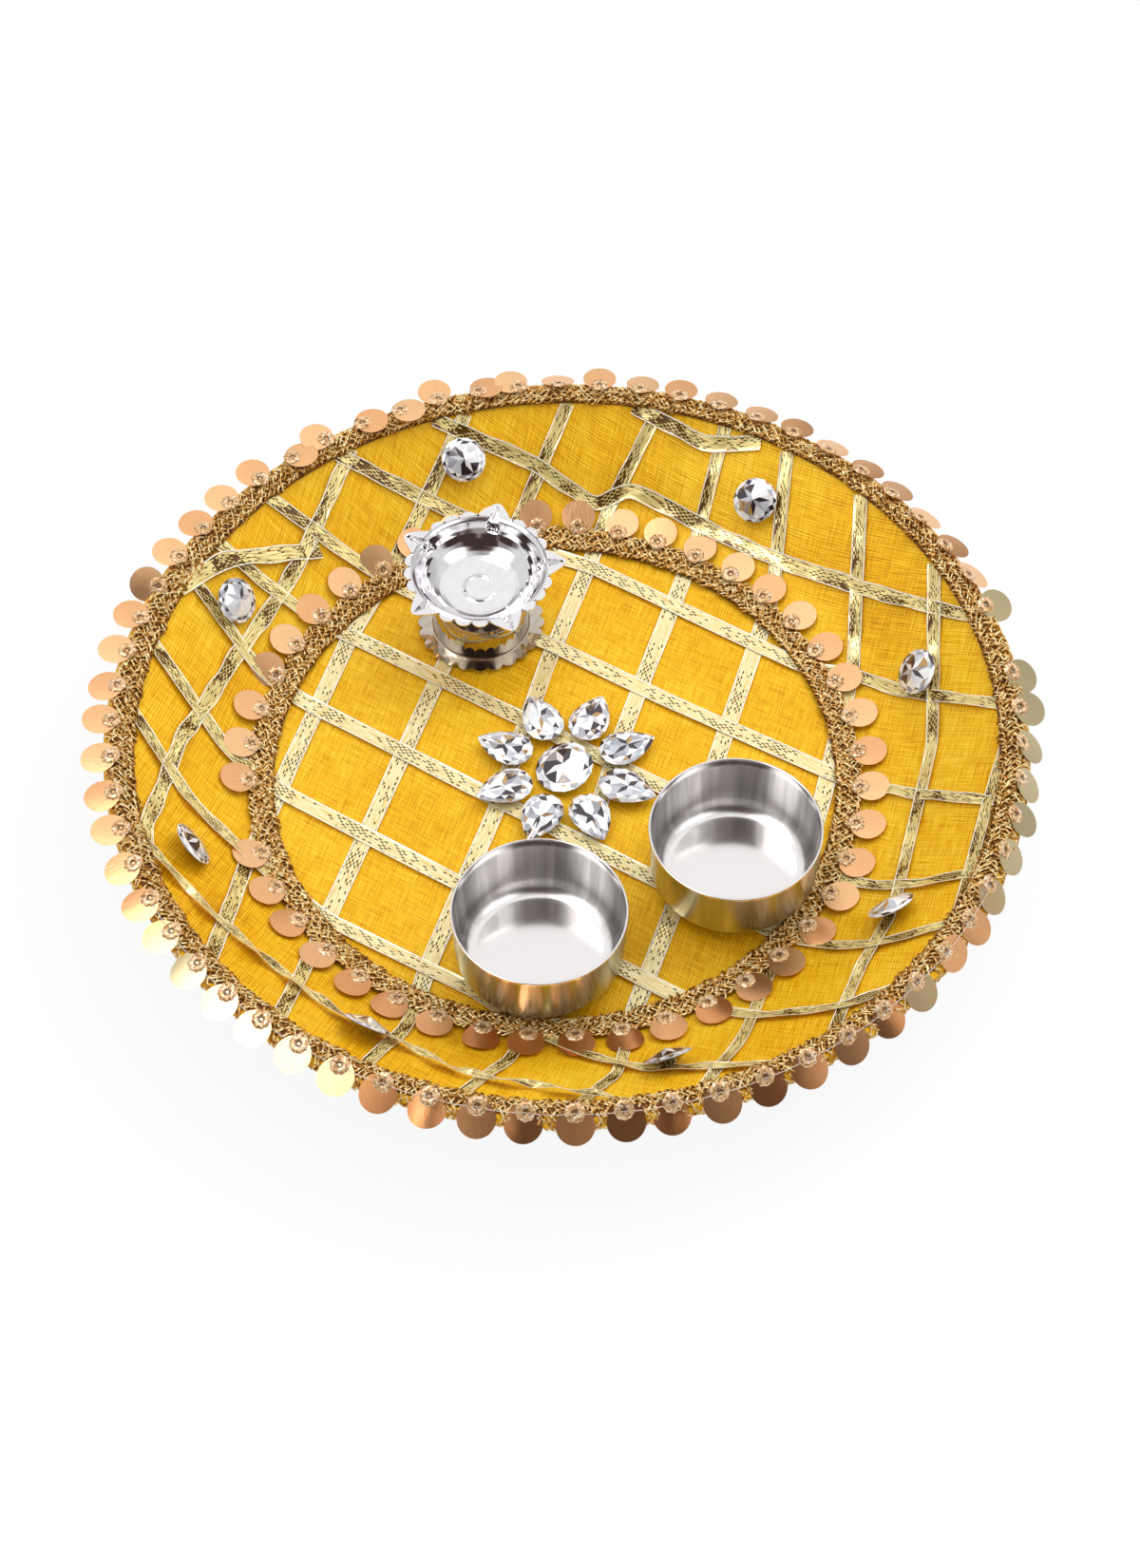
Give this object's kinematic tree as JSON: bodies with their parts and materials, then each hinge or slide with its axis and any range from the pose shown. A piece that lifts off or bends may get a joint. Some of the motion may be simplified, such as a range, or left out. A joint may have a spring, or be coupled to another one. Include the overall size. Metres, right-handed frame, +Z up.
{
  "type": "puja thali",
  "caption": "Cloth-covered round steel tray with ribbon lattice, sequin braid and crystals, holding two loose bowls and a star-rimmed oil lamp.",
  "frame": {"origin": "centre of the plate's flat underside, on the surface it stands on", "axes": "+Z up, +X to the viewer's right, +Y away from the viewer in the picture"},
  "size_m": [0.2832, 0.2838, 0.0348],
  "materials": {
    "plate_steel": "brushed stainless sheet",
    "tissue_cloth": "golden yellow tissue weave",
    "metallic_ribbon": "woven pale gold metallic ribbon",
    "gold_braid": "chain-stitched metallic yarn",
    "sequin": "satin metallised film",
    "glitter": "gold glitter",
    "crystal": "faceted, silver foil back",
    "bowl_steel": "satin stainless steel",
    "diya_steel": "mirror polished sheet"
  },
  "bodies": {
    "thali": {"steel_plate": "plate_steel", "cloth_cover": "tissue_cloth", "ribbon_tail": "metallic_ribbon", "inner_braid": "gold_braid", "outer_braid": "gold_braid", "outer_sequins": "sequin", "inner_sequins": "sequin", "outer_rosettes": "glitter", "inner_rosettes": "glitter", "flower_centre": "crystal", "flat_ribbon_1": "metallic_ribbon", "flat_ribbon_2": "metallic_ribbon", "flat_ribbon_3": "metallic_ribbon", "flat_ribbon_4": "metallic_ribbon", "flat_ribbon_5": "metallic_ribbon", "flat_ribbon_6": "metallic_ribbon", "flat_ribbon_7": "metallic_ribbon", "flat_ribbon_8": "metallic_ribbon", "flat_ribbon_9": "metallic_ribbon", "steep_ribbon_1": "metallic_ribbon", "steep_ribbon_2": "metallic_ribbon", "steep_ribbon_3": "metallic_ribbon", "steep_ribbon_4": "metallic_ribbon", "steep_ribbon_5": "metallic_ribbon", "steep_ribbon_6": "metallic_ribbon", "steep_ribbon_7": "metallic_ribbon", "steep_ribbon_8": "metallic_ribbon", "steep_ribbon_9": "metallic_ribbon", "flower_petal_1": "crystal", "flower_petal_2": "crystal", "flower_petal_3": "crystal", "flower_petal_4": "crystal", "flower_petal_5": "crystal", "flower_petal_6": "crystal", "flower_petal_7": "crystal", "flower_petal_8": "crystal", "wall_crystal_1": "crystal", "wall_crystal_2": "crystal", "wall_crystal_3": "crystal", "wall_crystal_4": "crystal", "wall_crystal_5": "crystal", "wall_crystal_6": "crystal", "wall_crystal_7": "crystal", "wall_crystal_8": "crystal"},
    "left_bowl": {"left_bowl": "bowl_steel"},
    "right_bowl": {"right_bowl": "bowl_steel"},
    "diya": {"diya_foot": "diya_steel", "diya_dish": "diya_steel"}
  },
  "joints": [
    {"name": "left_bowl_lift", "type": "slide", "parent": "thali", "child": "left_bowl", "axis": [0, 0, 1], "range_m": [0, 0.06]},
    {"name": "right_bowl_lift", "type": "slide", "parent": "thali", "child": "right_bowl", "axis": [0, 0, 1], "range_m": [0, 0.06]},
    {"name": "diya_lift", "type": "slide", "parent": "thali", "child": "diya", "axis": [0, 0, 1], "range_m": [0, 0.06]}
  ]
}
